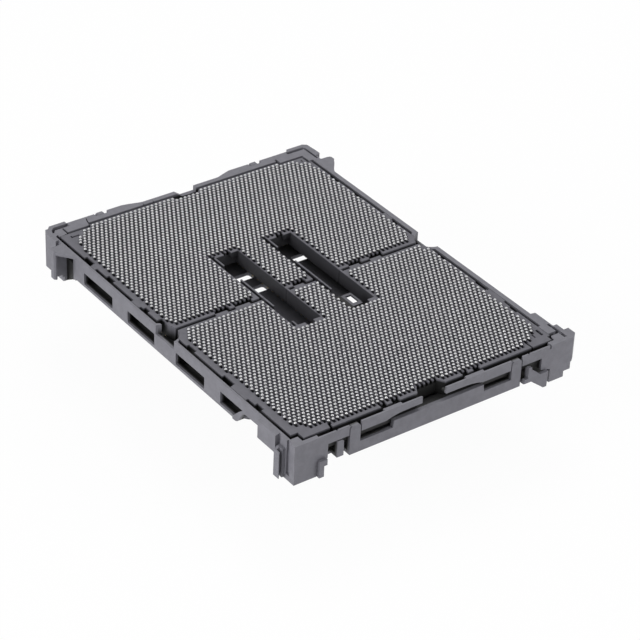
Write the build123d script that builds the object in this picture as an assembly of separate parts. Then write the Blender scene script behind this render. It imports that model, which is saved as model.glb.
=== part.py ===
from build123d import *
import os

os.makedirs("parts", exist_ok=True)

# Large processor socket, solder side up, standing on its corner feet.
# x runs along the short side, y along the long side, z up. Millimetres.

# contact field: two halves of a hexagonal grid
pitch = 0.94
row_step = pitch * 3 ** 0.5 / 2
columns = 58
rows_each = 45
ball_d = 0.60
split_rows = 3.34
field_y = -0.42
field_x = (columns - 0.5) * pitch / 2
back_shift = -0.025
front_shift = 0.035
back_last_y = field_y + split_rows / 2
back_first_y = back_last_y + (rows_each - 1) * row_step
front_first_y = field_y - split_rows / 2
front_last_y = front_first_y - (rows_each - 1) * row_step

# insulators: margins round the field, groove and lip of the frame round them
left_ledge = 1.425
right_ledge = 0.825
front_ledge = 1.44
back_ledge = 0.98
insert_left = field_x + left_ledge
insert_right = field_x + right_ledge
insert_front = front_last_y - front_ledge
insert_back = back_first_y + back_ledge
left_groove = 0.70
right_groove = 0.65
front_groove = 1.10
back_groove = 0.65
pocket_left = insert_left + left_groove
pocket_right = insert_right + right_groove
pocket_front = insert_front - front_groove
pocket_back = insert_back + back_groove
left = pocket_left + 0.45
right = pocket_right + 0.95
front = pocket_front - 0.35
back = pocket_back + 2.10
corner_step = 0.80
split_back = back_last_y - 1.40
split_front = front_first_y + 1.19
fit_gap = 0.10

# cavities between the three banks on each side of the split
cavity_in = 3.00
cavity_out = 8.95
left_rim = 8.10
right_rim = 4.05
cavity_back = back_first_y - 25 * row_step - 0.72
cavity_front = front_first_y - 12 * row_step - 0.14

# package recess on the hidden side
recess_x = field_x + 1.325
recess_front = front_last_y - 1.19
recess_back = back_first_y + 2.03
ledge_x = field_x + 0.375

# heights
deck_z = 8.00
ball_top = deck_z + 0.55
insert_t = 2.90
insert_low = deck_z - insert_t
ledge_low = insert_low - 0.70
tip_z = insert_low - 0.60
wall_low = 2.50
cover_low = 1.75
cover_t = 0.70
plate_top = cover_low + cover_t
band_low = deck_z - 2.05
foot_z = 0.0

# windows of the long walls, (near y, far y)
wall_t = 0.75
window_low = 3.45
window_top = 5.90
windows = [(17.0, 26.9), (2.9, 11.85), (-13.2, -4.1)]


# plan outline raised from z0 to z1
def flat(points, z0, z1):
    outline = make_face(Polyline(*points, close=True))
    return extrude(Pos(0, 0, z0) * outline, amount=z1 - z0)


# outline of (y, z) points run from x0 to x1
def along_x(points, x0, x1):
    outline = Plane.YZ.offset(x0) * make_face(Polyline(*points, close=True))
    return extrude(outline, amount=x1 - x0)


# outline of (x, z) points run from y0 to y1
def along_y(points, y0, y1):
    outline = Plane.XZ.offset(-y1) * make_face(Polyline(*points, close=True))
    return extrude(outline, amount=y1 - y0)


def block(x0, x1, y0, y1, z0, z1):
    x0, x1 = sorted((x0, x1))
    middle = Pos((x0 + x1) / 2, (y0 + y1) / 2, (z0 + z1) / 2)
    return middle * Box(x1 - x0, y1 - y0, z1 - z0)


# rows of one insulator as (y, x of place 0, first place, last place, empty runs, in_cavity)
def rows_of(side):
    rows = []
    for row in range(rows_each):
        if side == "back":
            y = back_first_y - row * row_step
            x0 = -field_x + back_shift + (row % 2) * pitch / 2
            ends = {0: (6, 51), 1: (3, 54), 2: (3, 55), 3: (1, 56), 4: (1, 57), 5: (0, 56), 6: (1, 57),
                    43: (0, 56), 44: (1, 56)}
            start, end = ends.get(row, (0, columns - 1))
            outer = row == 0
            in_cavity = row >= rows_each - 19
        else:
            y = front_first_y - row * row_step
            x0 = -field_x + front_shift + ((row + 1) % 2) * pitch / 2
            ends = {0: (1, 56), 1: (1, 56), 41: (1, 56), 42: (2, 54), 43: (3, 54), 44: (6, 51)}
            if row > 17:
                usual = (1, columns - 1) if row % 2 else (0, columns - 2)
            else:
                usual = (0, columns - 1)
            start, end = ends.get(row, usual)
            outer = row == rows_each - 1
            in_cavity = row < 13
        gaps = []
        if outer:
            gaps = [(26, 31)]
        if in_cavity:
            gaps = [(19, 25), (32, 38)]
        rows.append((y, x0, start, end, gaps, in_cavity))
    return rows


# straight runs of solder joints, sorted into four banks
def banks_of(side):
    banks = {"full": [], "left": [], "middle": [], "right": []}
    for y, x0, start, end, gaps, in_cavity in rows_of(side):
        runs = []
        at = start
        for low, high in gaps:
            runs.append((at, low - 1))
            at = high + 1
        runs.append((at, end))
        names = ["left", "middle", "right"] if in_cavity else ["full"] * len(runs)
        for name, (low, high) in zip(names, runs):
            banks[name].append((y, x0 + low * pitch, x0 + high * pitch))
    return banks


# solder rows: one low rounded ridge for each run of balls
def solder_row(y, x0, x1):
    r = ball_d / 2
    profile = [
        (y - r, deck_z),
        (y - r, deck_z + 0.27),
        (y - 0.57 * r, ball_top - 0.06),
        (y, ball_top),
        (y + 0.57 * r, ball_top - 0.06),
        (y + r, deck_z + 0.27),
        (y + r, deck_z),
    ]
    return along_x(profile, x0 - r, x1 + r)


# contact rows: one bent spring strip for each run, tips towards the package
def contact_row(y, x0, x1):
    profile = [
        (y - 0.26, insert_low),
        (y - 0.12, insert_low),
        (y + 0.16, tip_z + 0.10),
        (y + 0.30, tip_z + 0.10),
        (y + 0.30, tip_z),
        (y + 0.08, tip_z),
    ]
    return along_x(profile, x0 - 0.2, x1 + 0.2)


# tabs of the front half that reach across the split into notches of the back half
split_tabs = [(-18.6, -16.1), (-14.3, -11.2), (-1.4, 0.8), (11.2, 13.4), (16.0, 18.4)]


# upright round bite at both ends of the split, shared by frame and insulators;
# in front of it a thin skin of the wall stays up to skin_top
bite_r = 3.05
bite_out = 0.50
skin_t = 0.65
skin_top = deck_z - 1.80


def end_bites(body):
    y = (split_back + split_front) / 2
    for s, out in ((-1, left), (1, right)):
        height = deck_z + 1 - insert_low
        bite = Pos(s * (out + bite_out), y, insert_low + height / 2) * Cylinder(bite_r, height)
        inner, outer = sorted((s * (out - skin_t), s * (out + 2 * bite_r)))
        bite -= block(inner, outer, y - 2 * bite_r, y + 2 * bite_r, insert_low - 1, skin_top)
        body -= bite
    return body


# long slots along both edges and the tabs between them, (near y, far y)
edge_slots = {
    "back": [(25.7, 28.5), (18.5, 20.8), (6.8, 8.3)],
    "front": [(-8.3, -5.8), (-20.2, -17.0), (-29.0, -27.0)],
}
edge_tabs = {"back": [(24.0, 25.5), (9.0, 11.5)], "front": [(-25.0, -20.4)]}


def edge_details(body, side):
    for low, high in edge_tabs[side]:
        body += block(fit_gap - pocket_left, 0.2 - insert_left, low, high, insert_low + 0.9, deck_z)
        if low < 20:
            body += block(insert_right - 0.2, pocket_right - fit_gap, low, high, insert_low + 0.9, deck_z)
    for low, high in edge_slots[side]:
        body -= block(-insert_left - 1, -insert_left + 0.6, low, high, insert_low - 1, deck_z + 1)
        body -= block(insert_right - 0.35, insert_right + 1, low, high, insert_low - 1, deck_z + 1)
    return body


# thin latch ring at the corner of the right cavity
ring_in = 3.85
ring_out = 6.00
ring_t = 0.40


# low shelf on the left of a cavity with a thin rim standing on it
def cavity_rim(x0, x1, spans, y0, y1):
    shelf = block(x0 - 0.1, x1, y0, y1, insert_low, deck_z - 1.1)
    for near, far in spans:
        shelf += block(x1 - 0.3, x1, near, far, deck_z - 1.2, deck_z)
    return shelf


def insulator_back():
    y1 = insert_back
    outline = [
        (-insert_left, split_back),
        (-cavity_out, split_back),
        (-cavity_out, cavity_back),
        (-cavity_in, cavity_back),
        (-cavity_in, split_back),
        (cavity_in, split_back),
        (cavity_in, cavity_back),
        (cavity_out, cavity_back),
        (cavity_out, split_back),
        (insert_right, split_back),
        (insert_right, y1 - 2.9),
        (insert_right - 0.75, y1 - 2.9),
        (insert_right - 0.75, y1 - corner_step),
        (21.7, y1 - corner_step),
        (21.7, y1),
        (3.2, y1),
        (2.2, y1 - 1.1),
        (-2.4, y1 - 1.1),
        (-3.4, y1),
        (-21.6, y1),
        (-21.6, y1 - corner_step),
        (-insert_left, y1 - corner_step),
    ]
    body = flat(outline, insert_low, deck_z)
    for x0, x1 in split_tabs:
        body -= block(x0 + 0.1, x1 + 0.8, split_back - 1, split_back + 0.85, deck_z - 0.7, deck_z + 1)
        body -= block(x0 - fit_gap, x1 + fit_gap, split_back - 1, split_back + 0.15,
                      insert_low - 1, deck_z + 1)
    # bars beside the notch at the back of each cavity
    for x0 in (-cavity_out, cavity_in):
        body += block(x0 + 0.85, x0 + 2.75, cavity_back - 0.6, cavity_back + 0.1, deck_z - 1.2, deck_z)
        body += block(x0 + 4.35, x0 + 6.0, cavity_back - 0.6, cavity_back + 0.1, deck_z - 1.2, deck_z)
    spans = [(12.4, cavity_back - 0.5), (split_back - 0.3, 6.8)]
    for x0, x1 in ((-cavity_out, -left_rim), (cavity_in, right_rim)):
        body += cavity_rim(x0, x1, spans, split_back - 0.3, cavity_back + 0.1)
    # small corner marks in the flat corner of the field
    body -= block(-26.85, -25.1, 35.65, 36.05, deck_z - 1.2, deck_z + 1)
    body -= block(-26.85, -26.5, 35.65, 36.4, deck_z - 1.2, deck_z + 1)
    body -= block(26.2, 26.5, 35.9, 36.5, deck_z - 1.2, deck_z + 1)
    # relief between the last edge plate and the bite
    body -= block(-insert_left - 1, -field_x - 0.4, split_back, 3.75, insert_low - 1, deck_z + 1)
    return end_bites(edge_details(body, "back"))


def insulator_front():
    y1 = insert_front
    outline = [
        (-insert_left, split_front),
        (-cavity_out, split_front),
        (-cavity_out, cavity_front),
        (-cavity_in, cavity_front),
        (-cavity_in, split_front),
        (cavity_in, split_front),
        (cavity_in, cavity_front),
        (cavity_out, cavity_front),
        (cavity_out, split_front),
        (insert_right, split_front),
        (insert_right, -38.1),
        (27.25, -38.1),
        (27.25, y1),
        (23.0, y1),
        (22.9, y1 + 1.7),
        (23.1, y1 + 2.4),
        (22.75, y1 + 2.4),
        (22.5, y1 + 1.7),
        (22.6, y1),
        (11.0, y1),
        (11.0, y1 + 0.75),
        (7.0, y1 + 0.75),
        (7.0, y1),
        (3.3, y1),
        (2.3, y1 + 1.6),
        (-2.0, y1 + 1.6),
        (-3.0, y1),
        (-6.7, y1),
        (-6.7, y1 + 0.75),
        (-10.8, y1 + 0.75),
        (-10.8, y1),
        (-21.0, y1),
        (-20.9, y1 + 1.2),
        (-21.35, y1 + 1.2),
        (-21.6, y1),
        (-27.0, y1),
        (-27.0, y1 + 1.8),
        (-insert_left, y1 + 1.8),
    ]
    body = flat(outline, insert_low, deck_z)
    # pads in the two notches of the front edge
    body += block(-9.4, -8.3, y1 + 0.1, y1 + 0.9, insert_low, deck_z)
    body += block(8.4, 9.5, y1 + 0.1, y1 + 0.9, insert_low, deck_z)
    # rims and corner pieces of both cavities
    y0 = cavity_front
    y2 = split_back - 0.4
    body += cavity_rim(-cavity_out, -left_rim, [(-3.7, y2), (y0, -9.5)], y0 - 0.1, y2)
    body += cavity_rim(cavity_in, right_rim, [(-4.7, y2)], y0 + 4.5, y2)
    body += block(-cavity_out - 0.1, -6.6, y0 - 0.1, y0 + 0.95, insert_low, deck_z)
    body += block(-4.75, -cavity_in + 0.1, y0 - 0.1, y0 + 0.95, insert_low, deck_z)
    body += block(7.35, cavity_out + 0.1, y0 - 0.1, y0 + 0.95, insert_low, deck_z)
    # right walls of both cavities reach across the split
    for x0 in (-cavity_in, cavity_out):
        body += block(x0, x0 + 0.3, split_front - 0.5, split_back - fit_gap, insert_low, deck_z)
    for x0, x1 in split_tabs:
        body += block(x0, x1, split_front - 0.5, split_back + 0.05, insert_low, deck_z - 0.12)
    # square latch frame at the corner of the right cavity
    ring = block(cavity_in - 0.1, ring_in, y0 - 0.1, y0 + 4.6, insert_low, deck_z)
    ring += block(ring_in, ring_out, y0 + 0.5, y0 + 4.4, deck_z - ring_t, deck_z)
    ring -= block(ring_in + 0.6, ring_out - 0.25, y0 + 1.35, y0 + 3.9, insert_low - 1, deck_z + 1)
    body += ring
    # thin marks beside the last rows of the right corner
    body -= block(26.6, 27.15, -37.3, -35.45, deck_z - 1.4, deck_z + 1)
    body -= block(25.1, 25.4, -37.25, -36.2, deck_z - 0.8, deck_z + 1)
    return end_bites(edge_details(body, "front"))


# one long wall with its inner ledge, lower edge as the side view shows
def long_wall(out, sign):
    lower = Polyline((back, deck_z), (back, foot_z), (34.5, foot_z), (30.3, wall_low), (-22.5, wall_low))
    swoop = Spline((-22.5, wall_low), (-26.2, 5.55), tangents=((-1, 0), (-1, 0)))
    rest = Polyline((-26.2, 5.55), (-30.6, 5.63), (-30.6, 3.9), (-36.6, 3.9), (-36.6, foot_z),
                    (front, foot_z), (front, deck_z), (back, deck_z))
    outline = make_face(Curve() + [lower, swoop, rest])
    wall = extrude(Plane.YZ.offset(ledge_x) * outline, amount=out - ledge_x)
    for low, high in windows:
        hole = RectangleRounded(high - low, window_top - window_low, 0.2)
        spot = Plane.YZ.offset(ledge_x - 1) * Pos((low + high) / 2, (window_low + window_top) / 2)
        wall -= extrude(spot * hole, amount=out - ledge_x + 2)
        wall -= block(ledge_x - 1, out - wall_t, low - 0.5, high + 0.5, window_low - 0.35, insert_low)
    # last window closes against the slanting end of the bar
    wall -= along_x([(-18.2, window_low), (-18.2, window_top), (-25.0, window_top), (-23.9, 5.0),
                     (-22.4, window_low)], ledge_x - 1, out + 1)
    wall -= block(ledge_x - 1, out - wall_t, -26.0, -17.7, window_low - 0.35, insert_low)
    # bar under the windows is chamfered outside
    wall -= along_y([(out - 0.35, wall_low - 0.1), (out + 1, wall_low - 0.1), (out + 1, wall_low + 0.35),
                     (out, wall_low + 0.35), (out - 0.35, wall_low)], -22.0, 30.0)
    return wall if sign > 0 else mirror(wall, about=Plane.YZ)


def front_wall():
    arch = [
        (-left, deck_z), (-left, band_low), (-10.6, band_low), (-9.4, band_low + 0.35),
        (-7.8, band_low + 0.62), (-5.4, band_low + 0.7), (5.4, band_low + 0.7), (7.8, band_low + 0.62),
        (9.4, band_low + 0.35), (10.6, band_low), (right, band_low), (right, deck_z),
    ]
    return along_y(arch, front, recess_front)


def back_wall():
    step = 22.0
    outline = [
        (-left, back), (-12.8, back), (-11.4, back - 0.3), (-9.4, back - 0.9), (-8.6, back - 1.05),
        (8.4, back - 1.05), (9.0, back - 0.95), (10.8, back - 0.35), (12.0, back), (right, back),
        (right, pocket_back - 1.2), (-left, pocket_back - 1.2),
    ]
    return flat(outline, ledge_low, deck_z)


def corner_masses():
    # front left: foot, step beside the window, outer rib
    x = left + 0.25
    body = flat([(-x, front), (-24.75, front), (-24.75, -38.0), (-ledge_x, -38.0), (-ledge_x, -36.6),
                 (-x, -36.6)], foot_z, deck_z)
    body += flat([(-25.1, front), (-22.9, front), (-22.9, -38.0), (-25.1, -38.0)], 3.0, deck_z)
    body += along_y([(-x + 0.2, 0.3), (-x - 1.3, 0.3), (-x - 1.3, deck_z - 2.3), (-x - 0.65, deck_z - 1.8),
                     (-x + 0.2, deck_z - 1.8)], -38.1, -36.6)
    # front right: the foot steps up towards the outside
    x = right
    body += flat([(26.2, front), (x + 0.1, front), (x + 0.1, -36.0), (ledge_x, -36.0),
                  (ledge_x, -38.0), (26.2, -38.0)], foot_z, deck_z)
    body += along_y([(24.0, 3.5), (26.3, 2.9), (26.3, deck_z), (24.0, deck_z)], front, -38.0)
    body += block(22.7, 26.3, front + 1.0, recess_front, 1.6, band_low + 0.1)
    body += flat([(x, front), (x + 1.6, front), (x + 1.6, -36.0), (x, -36.0)], 1.2, deck_z)
    body += flat([(x + 1.5, front), (x + 1.8, front), (x + 2.85, front + 0.9), (x + 2.85, -38.0),
                  (x + 1.8, -38.0), (x + 1.8, -36.0), (x + 1.5, -36.0)], 2.7, deck_z)
    # back left: outer rib with a chamfer, raised skirt, flange
    x = left
    y = back + 0.7
    body += flat([(-25.0, y), (-28.4, y), (-x - 0.4, y - 1.8), (-x - 0.4, 33.6), (-x + 0.4, 33.6),
                  (-x + 0.4, 38.0), (-25.0, 38.0)], 1.4, deck_z)
    body += flat([(-25.0, y - 0.5), (-x + 0.2, y - 1.9), (-x + 0.2, 35.0), (-ledge_x, 35.0),
                  (-ledge_x, 38.0), (-25.0, 38.0)], foot_z, deck_z)
    body += flat([(-x + 0.4, 33.0), (-x - 2.4, 33.0), (-x - 2.7, 33.3), (-x - 2.7, 34.3),
                  (-x - 2.4, 34.6), (-x + 0.4, 34.6)], 1.9, deck_z)
    # back right: outer rib with a round bite before its flange
    x = right
    body += flat([(26.35, y), (x + 0.75, y), (x + 1.55, y - 0.6), (x + 1.75, 38.2), (x + 1.75, 36.6),
                  (x + 0.6, 36.6), (x + 0.6, 33.6), (ledge_x, 33.6), (ledge_x, 38.0), (26.35, 38.0)],
                 foot_z, deck_z)
    body += flat([(x - 0.4, 33.1), (x + 2.5, 33.1), (x + 2.85, 33.45), (x + 2.85, 34.4), (x + 2.5, 34.7),
                  (x - 0.4, 34.7)], 1.9, deck_z)
    body -= Pos(x + 1.9, 35.75, 5) * Cylinder(1.15, 20)
    # level plates that widen both walls into the flanges
    for s, out in ((-1, left), (1, right)):
        edge = Polyline((s * (out - 0.4), 35.0), (s * (out + 1.2), 34.8), (s * (out + 2.2), 34.8),
                        (s * (out + 2.6), 34.2), (s * (out + 2.5), 33.2))
        curve = Spline((s * (out + 2.5), 33.2), (s * (out + 1.2), 31.2), (s * (out - 0.1), 29.2),
                       tangents=((-s * 0.3, -1), (-s * 0.5, -1)))
        close = Polyline((s * (out - 0.1), 29.2), (s * (out - 0.4), 29.2), (s * (out - 0.4), 35.0))
        plate = Pos(0, 0, deck_z - 0.65) * make_face(Curve() + [edge, curve, close])
        body += extrude(plate, amount=0.65)
    # low pads outside both walls near the front
    for x, out in ((-left, -1), (right, 1.3)):
        body += along_y([(x - 0.1 * out, deck_z), (x + 0.9 * out, deck_z - 0.2), (x + 0.9 * out, 4.2),
                         (x + 0.6 * out, 3.9), (x - 0.1 * out, 3.9)], -36.0, -30.8)
    return body


def carrier_frame():
    body = long_wall(right, 1) + long_wall(left, -1)
    body += front_wall() + back_wall() + corner_masses()
    # pocket for the insulators, wider than them by the dark groove
    narrow = pocket_front + 0.55
    step_y = pocket_back - 0.85
    tight_left = insert_left + fit_gap
    tight_right = insert_right + fit_gap
    pocket = [
        (-pocket_left, narrow + 1.4), (-27.7, narrow + 1.4), (-27.7, narrow), (-24.8, narrow),
        (-24.8, pocket_front), (-10.8, pocket_front), (-10.8, narrow), (-7.0, narrow), (-7.0, pocket_front),
        (7.0, pocket_front), (7.0, narrow), (11.0, narrow), (11.0, pocket_front), (26.1, pocket_front),
        (26.1, narrow + 0.25), (27.6, narrow + 0.25), (tight_right, -38.3), (tight_right, -34.8),
        (pocket_right, -34.8), (pocket_right, -4.0), (tight_right, -3.6), (tight_right, 2.6),
        (pocket_right, 3.0), (pocket_right, 35.5), (27.65, 35.5), (27.65, step_y), (21.9, step_y),
        (21.9, pocket_back), (-21.3, pocket_back), (-21.9, step_y), (-26.4, step_y), (-26.4, 39.5),
        (-26.8, 39.5), (-26.8, insert_back - corner_step + fit_gap),
        (-tight_left, insert_back - corner_step + fit_gap), (-tight_left, 38.0), (-pocket_left, 37.7),
        (-pocket_left, 3.0), (-tight_left, 2.6), (-tight_left, -3.6), (-pocket_left, -4.0),
    ]
    body -= flat(pocket, insert_low, deck_z + 1)
    # open middle and the package recess below the ledge
    hole = (-ledge_x, ledge_x, front_last_y - 0.34, back_first_y + 0.43, -1, deck_z + 1)
    body -= block(*hole)
    body -= block(-recess_x, recess_x, recess_front, recess_back, -1, ledge_low)
    # floor of the front groove, ledge and the webs that carry it
    for x0, x1 in [(-22.9, -10.6), (10.6, 23.9)]:
        body += block(x0, x1, front + 0.3, insert_front - fit_gap, band_low, band_low + 0.65)
    body += block(-10.7, 10.7, front + 0.3, insert_front - fit_gap, band_low + 0.7, band_low + 1.15)
    for x0, x1 in [(-16.0, -10.4), (10.6, 16.8)]:
        body += block(x0, x1, front + 0.95, insert_front - fit_gap, ledge_low, band_low + 0.1)
    body += block(-28.4, 28.4, front + 0.95, front_last_y - 0.34, ledge_low, insert_low)
    # window of the back wall between its webs
    for x0, x1 in [(-22.9, -15.8), (-10.4, 10.4), (15.8, 22.9)]:
        body -= block(x0, x1, pocket_back - 0.4, back + 1, insert_low, band_low)

    # slots in the front left corner and beside its rib
    x = left + 0.25
    body -= block(-x - 1, -x + 0.4, front + 1.45, front + 2.35, 1.1, deck_z + 1)
    body -= block(-x - 1.15, -x - 0.6, -38.2, -37.2, -1, deck_z + 1)
    # slots in the front right corner
    x = right
    body -= block(x + 0.3, x + 0.9, front + 0.9, -35.0, 4.6, deck_z + 1)
    body -= block(27.75, x + 0.5, -38.35, -37.55, 5.6, deck_z + 1)
    body -= flat([(25.9, front + 0.5), (26.2, front + 0.5), (25.8, front - 1), (25.4, front - 1)],
                 deck_z - 0.7, deck_z + 1)
    # pockets behind the corner ribs
    y = back
    body -= flat([(-24.9, y - 0.15), (-27.9, y - 0.15), (-28.7, y - 0.8), (-29.05, y - 1.8),
                  (-28.65, y - 1.8), (-28.2, y - 1.15), (-24.9, y - 1.1)], 4.6, deck_z + 1)
    body -= flat([(25.5, y - 0.25), (29.4, y - 0.25), (29.95, y - 0.8), (29.95, 35.5), (29.5, 35.5),
                  (29.4, y - 1.0), (25.5, y - 1.0)], 4.2, deck_z + 1)
    body -= block(-30.1, -29.4, 34.9, 36.3, deck_z - 1.6, deck_z + 1)
    # joint lines of the back strip
    body -= flat([(-21.0, y - 0.4), (-20.85, y - 0.6), (-21.2, y - 1.6), (-21.25, pocket_back - 1),
                  (-21.7, pocket_back - 1), (-21.45, y - 1.6)], deck_z - 1.6, deck_z + 1)
    body -= block(21.9, 22.4, pocket_back - 1, y - 1.4, deck_z - 1.6, deck_z + 1)
    body -= block(-9.1, -8.9, pocket_back - 0.5, pocket_back + 0.45, deck_z - 1.2, deck_z + 1)
    body -= block(-6.9, -6.7, pocket_back - 0.5, pocket_back + 0.4, deck_z - 1.2, deck_z + 1)
    # hollow flange faces, walls fall back in front of them
    for s, out in ((-1, left), (1, right)):
        body -= block(s * (out - 0.3), s * (out + 2.1), 32.0, 33.85, 0, deck_z - 0.65)
        recess = [(s * (out - 0.7), 33.9), (s * (out - 0.7), 32.2), (s * (out - 0.35), 31.2),
                  (s * (out + 0.01), 29.9), (s * (out + 0.4), 29.9), (s * (out + 0.4), 33.9)]
        body -= flat(recess, 0, deck_z - 0.65)
    body = end_bites(body)
    # middle notches of both end walls
    body -= flat([(-2.9, front - 1), (2.3, front - 1), (2.3, front + 3.2), (-2.9, front + 3.2)],
                 deck_z - 1.55, deck_z + 1)
    body -= along_y([(-1.5, deck_z + 1), (-1.5, deck_z), (-0.1, deck_z - 1.0), (2.95, deck_z - 1.0),
                     (2.95, deck_z + 1)], pocket_back - 0.5, y + 1)
    # notches for the posts of the cover
    for x0, x1 in [(-18.5, -15.9), (16.9, 19.5)]:
        body -= block(x0, x1, front - 1, front + 1.0, 0, deck_z + 1)
        body -= block(x0 - 0.4, x1 - 0.2, y - 0.8, y + 1, 0, deck_z + 1)
    # dimples in the front lip
    for x in (-21.0, 21.0):
        body -= Pos(x, front + 0.25, deck_z) * Cylinder(0.2, 0.5)
    # package corners are relieved inside
    for x, sy in ((-recess_x, recess_front), (recess_x, recess_front), (-recess_x, recess_back),
                  (recess_x, recess_back)):
        body -= Pos(x * 0.996, sy * 0.997, ledge_low / 2 - 0.3) * Cylinder(0.7, ledge_low - 0.6)
    return body


def protective_cover():
    outline = [
        (-28.0, 33.0), (-24.4, 38.4), (24.4, 38.4), (28.0, 33.0), (28.0, -21.5), (26.8, -23.0),
        (24.9, -24.2), (24.2, -26.0), (24.2, front + 2.2), (-24.2, front + 2.2), (-24.2, -26.0),
        (-24.9, -24.2), (-26.8, -23.0), (-28.0, -21.5),
    ]
    body = flat(outline, cover_low, plate_top)
    # openings in the plate
    for x0, x1, y0, y1 in [
        (-14.0, -0.65, 13.2, 15.3), (-14.0, -0.65, 8.4, 10.5), (8.9, 13.0, 13.2, 15.3),
        (9.5, 11.7, -4.3, -0.6), (-14.0, -0.65, -17.5, -15.4), (8.9, 13.0, -17.5, -15.4),
    ]:
        hole = Pos((x0 + x1) / 2, (y0 + y1) / 2, cover_low - 0.5) * RectangleRounded(x1 - x0, y1 - y0, 0.5)
        body -= extrude(hole, amount=cover_t + 1)
    # stiffening rim inside the package recess
    rim = flat([(-26.6, 32.0), (-23.6, 36.6), (23.6, 36.6), (26.6, 32.0), (26.6, -21.0), (23.4, -25.0),
                (23.4, -37.4), (-23.4, -37.4), (-23.4, -25.0), (-26.6, -21.0)],
               plate_top - 0.1, plate_top + 0.8)
    rim -= flat([(-25.6, 31.7), (-23.1, 35.6), (23.1, 35.6), (25.6, 31.7), (25.6, -20.6), (22.4, -24.6),
                 (22.4, -36.4), (-22.4, -36.4), (-22.4, -24.6), (-25.6, -20.6)], plate_top - 1, plate_top + 2)
    body += rim
    # front bar with two low stretches, its posts in the notches of the frame
    bar = [
        (-18.3, cover_low), (19.3, cover_low), (19.3, 3.9), (11.0, 3.9), (10.8, 5.3), (-8.9, 5.3),
        (-9.1, 3.9), (-18.3, 3.9),
    ]
    body += along_y(bar, front, front + 0.8)
    body += block(-18.3, 19.3, front + 0.6, front + 2.4, cover_low, plate_top)
    post_top = deck_z - 0.4
    for x0, x1 in [(-18.3, -16.1), (17.1, 19.3)]:
        body += along_y([(x0, cover_low), (x1, cover_low), (x1, post_top - 0.4), (x1 - 0.4, post_top),
                         (x0 + 0.4, post_top), (x0, post_top - 0.4)], front, front + 0.8)
        x2 = x0 - 0.3
        x3 = x1 - 0.5
        body += along_y([(x2, cover_low), (x3, cover_low), (x3, post_top - 0.1), (x3 - 0.4, post_top + 0.3),
                         (x2 + 0.4, post_top + 0.3), (x2, post_top - 0.1)], back - 0.6, back + 0.3)
        body += block(x2, x3, 38.0, back + 0.3, cover_low, plate_top)
    # small hooks beside the posts
    x0, x1 = -20.8, -19.4
    body += along_y([(x0, 2.1), (x1, 2.1), (x1, 5.1), (x1 - 0.4, 5.5), (x0, 5.5)], front + 0.2, front + 0.85)
    body += block(x0, x1, front + 0.2, front + 2.4, 2.1, plate_top + 0.35)
    # slanting tab at the right, leg at the left
    tab = [
        (19.75, 2.4), (19.75, 3.3), (20.5, 3.3), (20.5, 5.65), (21.25, 5.5), (21.3, 4.95),
        (23.4, 3.2), (25.25, 3.3),
        (25.15, 1.7), (25.1, 0.0), (24.3, 0.0), (21.3, 2.4),
    ]
    body += along_y(tab, front - 0.7, front - 0.1)
    body += block(20.5, 21.25, front - 0.2, front + 0.3, 2.2, 5.3)
    body += block(19.75, 22.5, front - 0.4, front + 2.4, 2.2, plate_top + 0.35)
    leg = [(-25.05, 0.0), (-24.05, 0.0), (-24.05, 2.4), (-23.4, 2.4), (-23.4, 3.4), (-25.05, 3.4)]
    body += along_y(leg, front - 0.7, front - 0.1)
    body += block(-24.05, -23.4, front - 0.7, front + 2.4, 2.2, 2.9)
    return body


def save(name, shape):
    export_step(shape, f"parts/{name}.step")
    print(name, len(shape.solids()), round(sum(s.volume for s in shape.solids()), 1))


save("carrier_frame", carrier_frame())
save("insulator_back", insulator_back())
save("insulator_front", insulator_front())
save("protective_cover", protective_cover())
for side in ("back", "front"):
    for bank, runs in banks_of(side).items():
        save(f"solder_{side}_{bank}", Compound(children=[solder_row(*run) for run in runs]))
        save(f"contacts_{side}_{bank}", Compound(children=[contact_row(*run) for run in runs]))
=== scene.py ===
import bmesh
import bpy
from mathutils import Matrix, Vector


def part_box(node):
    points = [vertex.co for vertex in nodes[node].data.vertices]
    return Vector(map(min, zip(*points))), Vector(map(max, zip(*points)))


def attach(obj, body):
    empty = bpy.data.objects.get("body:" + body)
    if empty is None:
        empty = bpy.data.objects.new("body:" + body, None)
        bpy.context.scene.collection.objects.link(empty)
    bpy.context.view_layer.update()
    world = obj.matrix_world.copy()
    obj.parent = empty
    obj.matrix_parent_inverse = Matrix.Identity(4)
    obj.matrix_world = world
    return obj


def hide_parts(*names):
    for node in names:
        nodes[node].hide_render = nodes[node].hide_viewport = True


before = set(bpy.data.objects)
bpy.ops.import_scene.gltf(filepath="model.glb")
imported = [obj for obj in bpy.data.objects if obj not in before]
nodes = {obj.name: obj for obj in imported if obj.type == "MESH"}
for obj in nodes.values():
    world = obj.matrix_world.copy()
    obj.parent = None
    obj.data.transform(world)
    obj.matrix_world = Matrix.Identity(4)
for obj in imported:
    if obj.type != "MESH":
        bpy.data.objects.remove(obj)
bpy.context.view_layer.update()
mm = 0.001
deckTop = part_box("insulator_back")[1].z
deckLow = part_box("insulator_back")[0].z
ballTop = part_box("solder_back_full")[1].z
coverLift = 1.75 * mm
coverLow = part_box("carrier_frame")[0].z + coverLift

sides = ("back", "front")
banks = [side + "_" + bank for side in sides for bank in ("full", "left", "middle", "right")]


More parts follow.
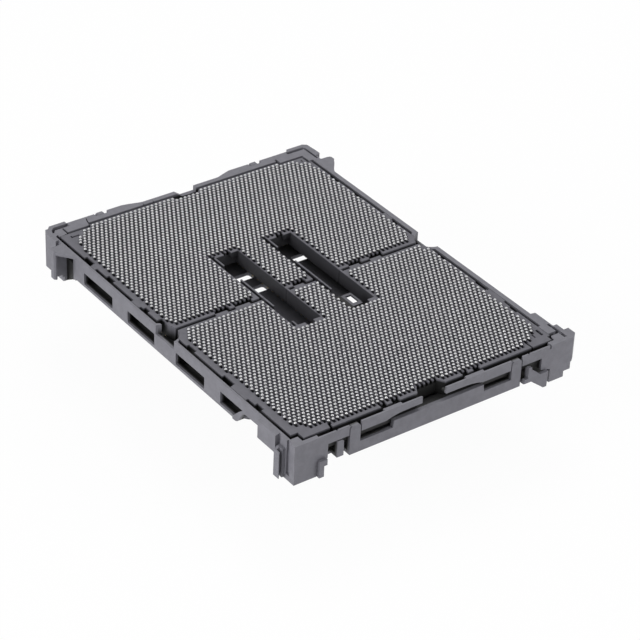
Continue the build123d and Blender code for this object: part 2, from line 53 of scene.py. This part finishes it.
class Wire:
    # one socket of a node tree, with the operators that the materials use
    def __init__(self, tree, socket):
        self.tree = tree
        self.socket = socket

    def node(self, kind, settings=None, inputs=None, out=0):
        made = self.tree.nodes.new(kind)
        for name, value in (settings or {}).items():
            setattr(made, name, value)
        for name, value in (inputs or {}).items():
            if isinstance(value, Wire):
                self.tree.links.new(value.socket, made.inputs[name])
            else:
                made.inputs[name].default_value = value
        return Wire(self.tree, made.outputs[out])

    def maths(self, operation, a, b=None):
        inputs = {0: a} if b is None else {0: a, 1: b}
        return self.node("ShaderNodeMath", {"operation": operation}, inputs)

    def __add__(self, other):
        return self.maths("ADD", self, other)

    __radd__ = __add__

    def __mul__(self, other):
        return self.maths("MULTIPLY", self, other)

    __rmul__ = __mul__

    def __sub__(self, other):
        return self.maths("SUBTRACT", self, other)

    def __rsub__(self, other):
        return self.maths("SUBTRACT", other, self)

    def clip(self, low, high):
        # 0 at low, 1 at high, smooth between them; low may be the larger one
        made = self.node("ShaderNodeMapRange", {"interpolation_type": "SMOOTHSTEP"},
                         {"Value": self, "From Min": min(low, high), "From Max": max(low, high)})
        return made if low < high else 1 - made

    def part(self, name):
        split = self.node("ShaderNodeSeparateXYZ", None, {0: self})
        return Wire(self.tree, split.socket.node.outputs[name])


def newMaterial(name):
    material = bpy.data.materials.new(name)
    material.use_nodes = True
    tree = material.node_tree
    shader = tree.nodes["Principled BSDF"]
    place = tree.nodes.new("ShaderNodeTexCoord")
    return material, tree, shader, Wire(tree, place.outputs["Object"])


def mixColour(wire, factor, a, b):
    made = wire.tree.nodes.new("ShaderNodeMix")
    made.data_type = "RGBA"
    for socket, value in ((made.inputs[0], factor), (made.inputs[6], a), (made.inputs[7], b)):
        if isinstance(value, Wire):
            wire.tree.links.new(value.socket, socket)
        else:
            socket.default_value = value
    return Wire(wire.tree, made.outputs[2])


def grey(level, tint=(1.0, 1.0, 1.0)):
    return tuple(level * share for share in tint) + (1.0,)


def dimmed(colour, share):
    return tuple(c * share for c in colour[:3]) + (1.0,)


# fine structure of the surfaces; scales are per metre
noises = {
    "cloud": {"scale": 620.0, "detail": 4.0, "rough": 0.62, "low": 0.32, "high": 0.68, "share": 0.7},
    "spark": {"scale": 5200.0, "detail": 2.0, "rough": 0.6, "swing": 0.12, "height": 0.02 * mm},
    "patch": {"scale": 1500.0, "detail": 2.0, "rough": 0.5, "low": 0.3, "high": 0.7, "swing": 0.10},
}


def noise(place, kind):
    look = noises[kind]
    return place.node("ShaderNodeTexNoise", None,
                      {"Vector": place, "Scale": look["scale"], "Detail": look["detail"],
                       "Roughness": look["rough"]}, "Fac")


# edges of the inside of the frame, inside which shade is painted into the colour; soft is the width of
# every edge
inside = {"x": 29.2 * mm, "yBack": 38.9 * mm, "yFront": -40.35 * mm, "soft": 0.12 * mm}

# light and dark are the two greys of the cloudy surface; the two depths below the top give where painted
# shade begins and where it is full, and the share is how much of the dark grey the painted shade leaves
plastics = {
    "frame": {"light": 0.192, "dark": 0.158, "tint": (0.965, 0.955, 1.085),
              "rough": 0.50, "shine": 0.30, "grain": 0.12,
              "deepFrom": 0.15 * mm, "deepTo": 0.75 * mm, "deep": 0.16},
    "insulator": {"light": 0.138, "dark": 0.112, "tint": (0.965, 0.950, 1.10),
                  "rough": 0.54, "shine": 0.30, "grain": 0.10,
                  "deepFrom": 0.10 * mm, "deepTo": 0.50 * mm, "deep": 0.08},
    "cover": {"light": 0.188, "dark": 0.150, "tint": (0.965, 0.955, 1.085),
              "rough": 0.52, "shine": 0.30, "grain": 0.12,
              "deepFrom": 0.45 * mm, "deepTo": 0.65 * mm, "deep": 0.40},
}
# the two cavities, the square latch ring and the round bites at the ends of the split, where painted shade
# is set apart; lift, shade and depth say how much of the painted shade they get
cavity = {"in": 2.95 * mm, "out": 9.05 * mm, "front": -12.1 * mm, "back": 16.1 * mm, "lift": 0.26,
          "floor": 12.0 * mm, "deepFrom": 0.04 * mm, "deepTo": 0.22 * mm}
latch = {"x": 3.93 * mm, "out": 6.1 * mm, "y": -11.42 * mm, "back": -7.2 * mm, "shade": 0.16}
bite = {"x": 26.8 * mm, "y": -0.53 * mm, "reach": 3.3 * mm, "depth": 2.4 * mm}


def away(wire):
    # distance from the middle plane
    return wire.maths("ABSOLUTE", wire)


def insideMask(x, y):
    # 1 well inside the walls of the frame, 0 outside them; x is the distance from the middle
    soft = inside["soft"]
    return (x.clip(inside["x"], inside["x"] - soft)
            * y.clip(inside["yBack"], inside["yBack"] - soft)
            * y.clip(inside["yFront"], inside["yFront"] + soft))


def boxMask(x, y, spanX, spanY):
    # 1 in a box seen from above, 0 outside it
    soft = inside["soft"]
    mask = x.clip(spanX[0] - soft, spanX[0]) * x.clip(spanX[1] + soft, spanX[1])
    return mask * y.clip(spanY[0] - soft, spanY[0]) * y.clip(spanY[1] + soft, spanY[1])


def latchShadeMask(x, y):
    # painted shade: the gap round the square latch ring is painted dark, and the ring gets a slight
    # painted shade
    whole = boxMask(x, y, (cavity["in"], latch["out"]), (cavity["front"], latch["back"]))
    ring = boxMask(x, y, (latch["x"], latch["out"]), (latch["y"], latch["back"]))
    return whole * (1 - ring * (1 - latch["shade"]))


def paintedShadeMask(place, look, kind):
    # painted shade: how far a point lies below the deck, so that wells, grooves and the cavities are
    # painted dark; the bites at the ends of the split are left without it
    x = away(place.part("X"))
    y = place.part("Y")
    z = place.part("Z")
    soft = inside["soft"]
    mask = insideMask(x, y)
    # the cover is painted dark as shade inside the frame, away from the cavities
    if kind == "cover":
        outer = x.clip(cavity["out"], cavity["floor"])
        return mask * outer * z.clip(coverLow + look["deepFrom"], coverLow + look["deepTo"])
    hollow = boxMask(x, y, (cavity["in"], cavity["out"]), (cavity["front"], cavity["back"]))
    wells = z.clip(deckTop - look["deepFrom"], deckTop - look["deepTo"])
    walls = z.clip(deckTop - cavity["deepFrom"], deckTop - cavity["deepTo"]) * (1 - cavity["lift"])
    mask = mask * (hollow * walls + (1 - hollow) * wells)
    near = away(y - bite["y"]).clip(bite["reach"] + soft, bite["reach"])
    high = z.clip(deckTop - bite["depth"], deckTop)
    mask = mask * (1 - x.clip(bite["x"] - soft, bite["x"]) * near * high)
    if kind == "insulator":
        mask = mask.maths("MAXIMUM", mask, latchShadeMask(place.part("X"), y))
    return mask


def mouldedPlastic(name, kind):
    look = plastics[kind]
    material, tree, shader, place = newMaterial(name)
    cloud = noises["cloud"]
    fine = noises["spark"]
    spark = noise(place, "spark")
    patches = noise(place, "cloud").clip(cloud["low"], cloud["high"])
    blend = patches * cloud["share"] + spark * (1 - cloud["share"])
    colour = mixColour(place, blend, grey(look["dark"], look["tint"]), grey(look["light"], look["tint"]))
    # painted shade: the colour falls towards the dark grey in wells, grooves, cavities and inside the
    # frame
    deep = mixColour(place, paintedShadeMask(place, look, kind), colour, grey(look["dark"] * look["deep"]))
    tree.links.new(deep.socket, shader.inputs["Base Color"])
    shader.inputs["Specular IOR Level"].default_value = look["shine"]
    rough = spark * fine["swing"] + (look["rough"] - fine["swing"] / 2)
    tree.links.new(rough.socket, shader.inputs["Roughness"])
    bump = place.node("ShaderNodeBump", None,
                      {"Strength": look["grain"], "Distance": fine["height"], "Height": spark}, "Normal")
    tree.links.new(bump.socket, shader.inputs["Normal"])
    return material


# foot is a painted shade: the share of the colour left on the lower half of a ball, between two depths
# below its top; shade is a painted shade too: the share of the colour left on the springs that stand round
# the cavities
metals = {
    "solder": {"colour": (0.62, 0.62, 0.63, 1.0), "rough": 0.36, "spread": 0.06,
               "foot": 0.10, "footFrom": 0.36 * mm, "footTo": 0.12 * mm},
    "contact": {"colour": (0.60, 0.47, 0.25, 1.0), "rough": 0.34, "spread": 0.15,
                "shade": 0.30, "reach": 1.5 * mm, "soft": 0.2 * mm},
}


def bareMetal(name, kind):
    look = metals[kind]
    material, tree, shader, place = newMaterial(name)
    shader.inputs["Metallic"].default_value = 1.0
    spots = noises["patch"]
    patch = noise(place, "patch").clip(spots["low"], spots["high"])
    colour = mixColour(place, patch, dimmed(look["colour"], 1 - look["spread"]), look["colour"])
    # painted shade: the lower half of each ball is darker
    if "foot" in look:
        rise = place.part("Z").clip(ballTop - look["footFrom"], ballTop - look["footTo"])
        colour = mixColour(place, rise, dimmed(look["colour"], look["foot"]), colour)
    # painted shade on the springs that stand round the cavities
    if "shade" in look:
        soft = look["soft"]
        outer = cavity["out"] + look["reach"]
        front = cavity["front"] - look["reach"]
        back = cavity["back"] + look["reach"]
        y = place.part("Y")
        springShade = away(place.part("X")).clip(outer, outer - soft) * y.clip(front, front + soft)
        springShade = springShade * y.clip(back, back - soft)
        colour = mixColour(place, springShade, colour, dimmed(look["colour"], look["shade"]))
    tree.links.new(colour.socket, shader.inputs["Base Color"])
    rough = patch * spots["swing"] + (look["rough"] - spots["swing"] / 2)
    tree.links.new(rough.socket, shader.inputs["Roughness"])
    return material


framePlastic = mouldedPlastic("frame_plastic", "frame")
insulatorPlastic = mouldedPlastic("insulator_plastic", "insulator")
coverPlastic = mouldedPlastic("cover_plastic", "cover")
solderMetal = bareMetal("solder", "solder")
springMetal = bareMetal("contact_metal", "contact")


def dress(piece, material):
    piece.data.materials.clear()
    piece.data.materials.append(material)


dress(nodes["carrier_frame"], framePlastic)
dress(nodes["protective_cover"], coverPlastic)
print("plastics ready")


# the contact field, in millimetres; a ball is a little wider than high
field = {
    "pitch": 0.94,
    "ball": 0.60,
    "swell": 1.03,
    "ballSegments": 10,
    "ballRings": 6,
    "wellX": 0.60,
    "wellY": 0.74,
    "wellDepth": 1.6,
    "wellShift": -0.36,
    "near": 0.01,
}


def ballPlaces(bank):
    # every solder row is one ridge whose two upper end points give its run
    ball = field["ball"] * mm
    mesh = nodes["solder_" + bank].data
    tops = sorted({(round(v.co.y / mm, 3), round(v.co.x / mm, 3)) for v in mesh.vertices
                   if v.co.z > ballTop - field["near"] * mm})
    places = []
    for (y, low), (_, high) in zip(tops[0::2], tops[1::2]):
        first = low * mm + ball / 2
        count = round((high * mm - ball / 2 - first) / (field["pitch"] * mm)) + 1
        places += [(first + k * field["pitch"] * mm, y * mm) for k in range(count)]
    return places


places = {bank: ballPlaces(bank) for bank in banks}
print("balls", sum(len(p) for p in places.values()))


def pointCloud(name, points, z):
    mesh = bpy.data.meshes.new(name)
    mesh.from_pydata([(x, y, z) for x, y in points], [], [])
    piece = bpy.data.objects.new(name, mesh)
    bpy.context.scene.collection.objects.link(piece)
    return piece


def newTree(name, inputs):
    tree = bpy.data.node_groups.new(name, "GeometryNodeTree")
    tree.interface.new_socket("Geometry", in_out="INPUT", socket_type="NodeSocketGeometry")
    for label, value in inputs.items():
        socket = tree.interface.new_socket(label, in_out="INPUT", socket_type="NodeSocketFloat")
        socket.default_value = value
    tree.interface.new_socket("Geometry", in_out="OUTPUT", socket_type="NodeSocketGeometry")
    return tree, tree.nodes.new("NodeGroupInput"), tree.nodes.new("NodeGroupOutput")


def addNode(tree, kind, links=None, **settings):
    made = tree.nodes.new(kind)
    for name, value in settings.items():
        setattr(made, name, value)
    for name, value in (links or {}).items():
        if isinstance(value, bpy.types.NodeSocket):
            tree.links.new(value, made.inputs[name])
        else:
            made.inputs[name].default_value = value
    return made


def applyTree(piece, tree, values):
    modifier = piece.modifiers.new("grow", "NODES")
    modifier.node_group = tree
    for item in tree.interface.items_tree:
        if item.in_out == "INPUT" and item.name in values:
            modifier[item.identifier] = values[item.name]
    graph = bpy.context.evaluated_depsgraph_get()
    mesh = bpy.data.meshes.new_from_object(piece.evaluated_get(graph))
    mesh.name = piece.name
    piece.modifiers.remove(modifier)
    piece.data = mesh
    return piece


def closeTree(tree, output, geometry, material, smooth):
    real = addNode(tree, "GeometryNodeRealizeInstances", {"Geometry": geometry})
    shade = addNode(tree, "GeometryNodeSetShadeSmooth",
                    {"Geometry": real.outputs[0], "Shade Smooth": smooth})
    final = addNode(tree, "GeometryNodeSetMaterial", {"Geometry": shade.outputs[0], "Material": material})
    tree.links.new(final.outputs[0], output.inputs[0])


# solder balls: a sphere at every place, flattened by the share given
def ballTree():
    tree, given, output = newTree("solder_balls", {"Radius": field["ball"] * mm / 2, "Flatten": 1.0})
    sphere = addNode(tree, "GeometryNodeMeshUVSphere",
                     {"Segments": field["ballSegments"], "Rings": field["ballRings"],
                      "Radius": given.outputs["Radius"]})
    stretch = addNode(tree, "ShaderNodeCombineXYZ", {"X": 1.0, "Y": 1.0, "Z": given.outputs["Flatten"]})
    spread = addNode(tree, "GeometryNodeInstanceOnPoints",
                     {"Points": given.outputs["Geometry"], "Instance": sphere.outputs[0],
                      "Scale": stretch.outputs[0]})
    closeTree(tree, output, spread.outputs[0], solderMetal, True)
    return tree


# spring contacts, in millimetres: a bent strip under every place, its tip towards the package;
# the four points of its curve are y and z from the place
spring = {
    "width": 0.36,
    "thick": 0.09,
    "steps": 4,
    "Start": (-0.22, 0.05),
    "Start Handle": (-0.20, -0.30),
    "End Handle": (0.02, -0.60),
    "End": (0.28, -0.51),
}


def springTree():
    tree, given, output = newTree("contact_springs", {"Width": spring["width"] * mm,
                                                      "Thick": spring["thick"] * mm})
    path = addNode(tree, "GeometryNodeCurvePrimitiveBezierSegment", {"Resolution": spring["steps"]})
    for name in ("Start", "Start Handle", "End Handle", "End"):
        y, z = spring[name]
        path.inputs[name].default_value = (0, y * mm, z * mm)
    section = addNode(tree, "GeometryNodeCurvePrimitiveQuadrilateral",
                      {"Width": given.outputs["Thick"], "Height": given.outputs["Width"]})
    strip = addNode(tree, "GeometryNodeCurveToMesh",
                    {"Curve": path.outputs[0], "Profile Curve": section.outputs[0], "Fill Caps": True})
    spread = addNode(tree, "GeometryNodeInstanceOnPoints",
                     {"Points": given.outputs["Geometry"], "Instance": strip.outputs[0]})
    closeTree(tree, output, spread.outputs[0], springMetal, False)
    return tree


# wells: the cutters for the square pockets beside the balls, where the contacts stand
wellSize = {"WidthX": field["wellX"] * mm, "WidthY": field["wellY"] * mm, "Depth": field["wellDepth"] * mm}


def wellTree():
    tree, given, output = newTree("contact_wells", wellSize)
    edges = addNode(tree, "ShaderNodeCombineXYZ",
                    {"X": given.outputs["WidthX"], "Y": given.outputs["WidthY"],
                     "Z": given.outputs["Depth"]})
    pit = addNode(tree, "GeometryNodeMeshCube", {"Size": edges.outputs[0]})
    spread = addNode(tree, "GeometryNodeInstanceOnPoints",
                     {"Points": given.outputs["Geometry"], "Instance": pit.outputs["Mesh"]})
    closeTree(tree, output, spread.outputs[0], insulatorPlastic, False)
    return tree


balls = ballTree()
springs = springTree()
wells = wellTree()

for bank in banks:
    r = field["ball"] * mm / 2
    solder = pointCloud("balls_" + bank, places[bank], ballTop - r)
    applyTree(solder, balls, {"Radius": r * field["swell"], "Flatten": 1 / field["swell"]})
    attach(solder, "socket")
    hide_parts("solder_" + bank)
    contact = pointCloud("springs_" + bank, places[bank], deckLow)
    applyTree(contact, springs, {"Width": spring["width"] * mm, "Thick": spring["thick"] * mm})
    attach(contact, "socket")
    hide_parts("contacts_" + bank)
print("balls and springs ready")


# how near points are joined, and how flat faces are joined, in radians
merge = {"near": 0.0005 * mm, "flat": 0.01}


def mergedCopy(node, name):
    piece = bpy.data.objects.new(name, nodes[node].data.copy())
    bpy.context.scene.collection.objects.link(piece)
    shape = bmesh.new()
    shape.from_mesh(piece.data)
    bmesh.ops.remove_doubles(shape, verts=shape.verts, dist=merge["near"])
    bmesh.ops.dissolve_limit(shape, angle_limit=merge["flat"], verts=shape.verts, edges=shape.edges)
    shape.to_mesh(piece.data)
    shape.free()
    return piece


def cutWells(side):
    piece = mergedCopy("insulator_" + side, "insulator_" + side + "_wells")
    points = [(x, y + field["wellShift"] * mm) for bank in banks if bank.startswith(side)
              for x, y in places[bank]]
    cutter = pointCloud("cutter_" + side, points, deckTop)
    applyTree(cutter, wells, wellSize)
    cut = piece.modifiers.new("wells", "BOOLEAN")
    cut.operation = "DIFFERENCE"
    cut.solver = "MANIFOLD"
    cut.object = cutter
    graph = bpy.context.evaluated_depsgraph_get()
    mesh = bpy.data.meshes.new_from_object(piece.evaluated_get(graph))
    piece.modifiers.remove(cut)
    piece.data = mesh
    bpy.data.objects.remove(cutter)
    dress(piece, insulatorPlastic)
    mesh.polygons.foreach_set("use_smooth", [False] * len(mesh.polygons))
    print("insulator", side, "faces", len(mesh.polygons))
    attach(piece, "socket")
    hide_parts("insulator_" + side)


for side in sides:
    cutWells(side)
print("wells ready")


# floor, light and camera; the floor lies low enough for the cover to be pulled off above it
stageLook = {
    "drop": 12.3 * mm,
    "size": 4.0,
    "floor": 0.88,
    "rough": 0.9,
    "glow": 0.95,
    "world": 0.50,
    "zenith": 0.42,
    "whiteUpTo": 0.02,
    "darkFrom": 0.30,
}


def seenRay(tree):
    # 1 for rays from the camera, off glossy surfaces and through clear ones
    ray = tree.nodes.new("ShaderNodeLightPath")
    seen = Wire(tree, ray.outputs["Is Camera Ray"])
    for name in ("Is Glossy Ray", "Is Transmission Ray"):
        seen = seen.maths("MAXIMUM", seen, Wire(tree, ray.outputs[name]))
    return seen


def buildStage():
    bpy.ops.mesh.primitive_plane_add(size=stageLook["size"], location=(0, 0, -stageLook["drop"]))
    floor = bpy.context.object
    floor.name = "floor"
    material, tree, shader, place = newMaterial("floor_white")
    shader.inputs["Base Color"].default_value = grey(stageLook["floor"])
    shader.inputs["Roughness"].default_value = stageLook["rough"]
    shader.inputs["Specular IOR Level"].default_value = 0.0
    glow = tree.nodes.new("ShaderNodeEmission")
    mix = tree.nodes.new("ShaderNodeMixShader")
    tree.links.new((seenRay(tree) * stageLook["glow"]).socket, mix.inputs[0])
    tree.links.new(shader.outputs[0], mix.inputs[1])
    tree.links.new(glow.outputs[0], mix.inputs[2])
    tree.links.new(mix.outputs[0], tree.nodes["Material Output"].inputs["Surface"])
    dress(floor, material)


def buildWorld():
    world = bpy.data.worlds.new("studio")
    bpy.context.scene.world = world
    world.use_nodes = True
    tree = world.node_tree
    back = tree.nodes["Background"]
    back.inputs["Color"].default_value = (1, 1, 1, 1)
    look = tree.nodes.new("ShaderNodeTexCoord")
    up = Wire(tree, look.outputs["Generated"]).part("Z")
    # white near the floor, grey overhead
    low = up.clip(stageLook["darkFrom"], stageLook["whiteUpTo"])
    horizon = low * (1 - stageLook["zenith"]) + stageLook["zenith"]
    strength = seenRay(tree) * horizon
    strength = strength.maths("MAXIMUM", strength, stageLook["world"])
    tree.links.new(strength.socket, back.inputs["Strength"])


def areaLight(name, place, target, size, power):
    lamp = bpy.data.lights.new(name, "AREA")
    lamp.shape = "RECTANGLE"
    lamp.size, lamp.size_y = size
    lamp.energy = power
    piece = bpy.data.objects.new(name, lamp)
    bpy.context.scene.collection.objects.link(piece)
    piece.location = place
    piece.rotation_mode = "QUATERNION"
    piece.rotation_quaternion = (Vector(target) - Vector(place)).to_track_quat("-Z", "Y")


# name, place, size and power; all point at the middle of the part
lampTarget = (0, 0, 0.004)
lamps = [
    ("left_soft", (-0.60, 0.02, 0.26), (0.30, 0.30), 2.3),
    ("top_soft", (0.22, 0.34, 0.60), (0.32, 0.32), 1.5),
    ("front_soft", (0.30, -0.36, 0.22), (0.22, 0.20), 0.72),
]

# camera: the photograph's long lens, about 460 mm from the part; place in mm
shot = {
    "place": (-231.22, -311.30, 257.53),
    "right": (0.81050296, -0.58456299, 0.03702775),
    "up": (0.29871655, 0.46689585, 0.83233208),
    "lens": 141.61,
    "sensor": 36.0,
    "near": 0.01,
    "far": 20.0,
}


def buildCamera():
    lens = bpy.data.cameras.new("camera")
    lens.sensor_width = shot["sensor"]
    lens.lens = shot["lens"]
    lens.clip_start = shot["near"]
    lens.clip_end = shot["far"]
    piece = bpy.data.objects.new("camera", lens)
    bpy.context.scene.collection.objects.link(piece)
    right = Vector(shot["right"]).normalized()
    up = (Vector(shot["up"]) - right * right.dot(Vector(shot["up"]))).normalized()
    back = right.cross(up)
    turn = Matrix((right, up, back)).transposed()
    piece.matrix_world = Matrix.Translation(Vector(shot["place"]) * mm) @ turn.to_4x4()
    bpy.context.scene.camera = piece


buildStage()
buildWorld()
for name, place, size, power in lamps:
    areaLight(name, place, lampTarget, size, power)
buildCamera()
bpy.context.scene.view_settings.view_transform = "Standard"
print("stage ready")
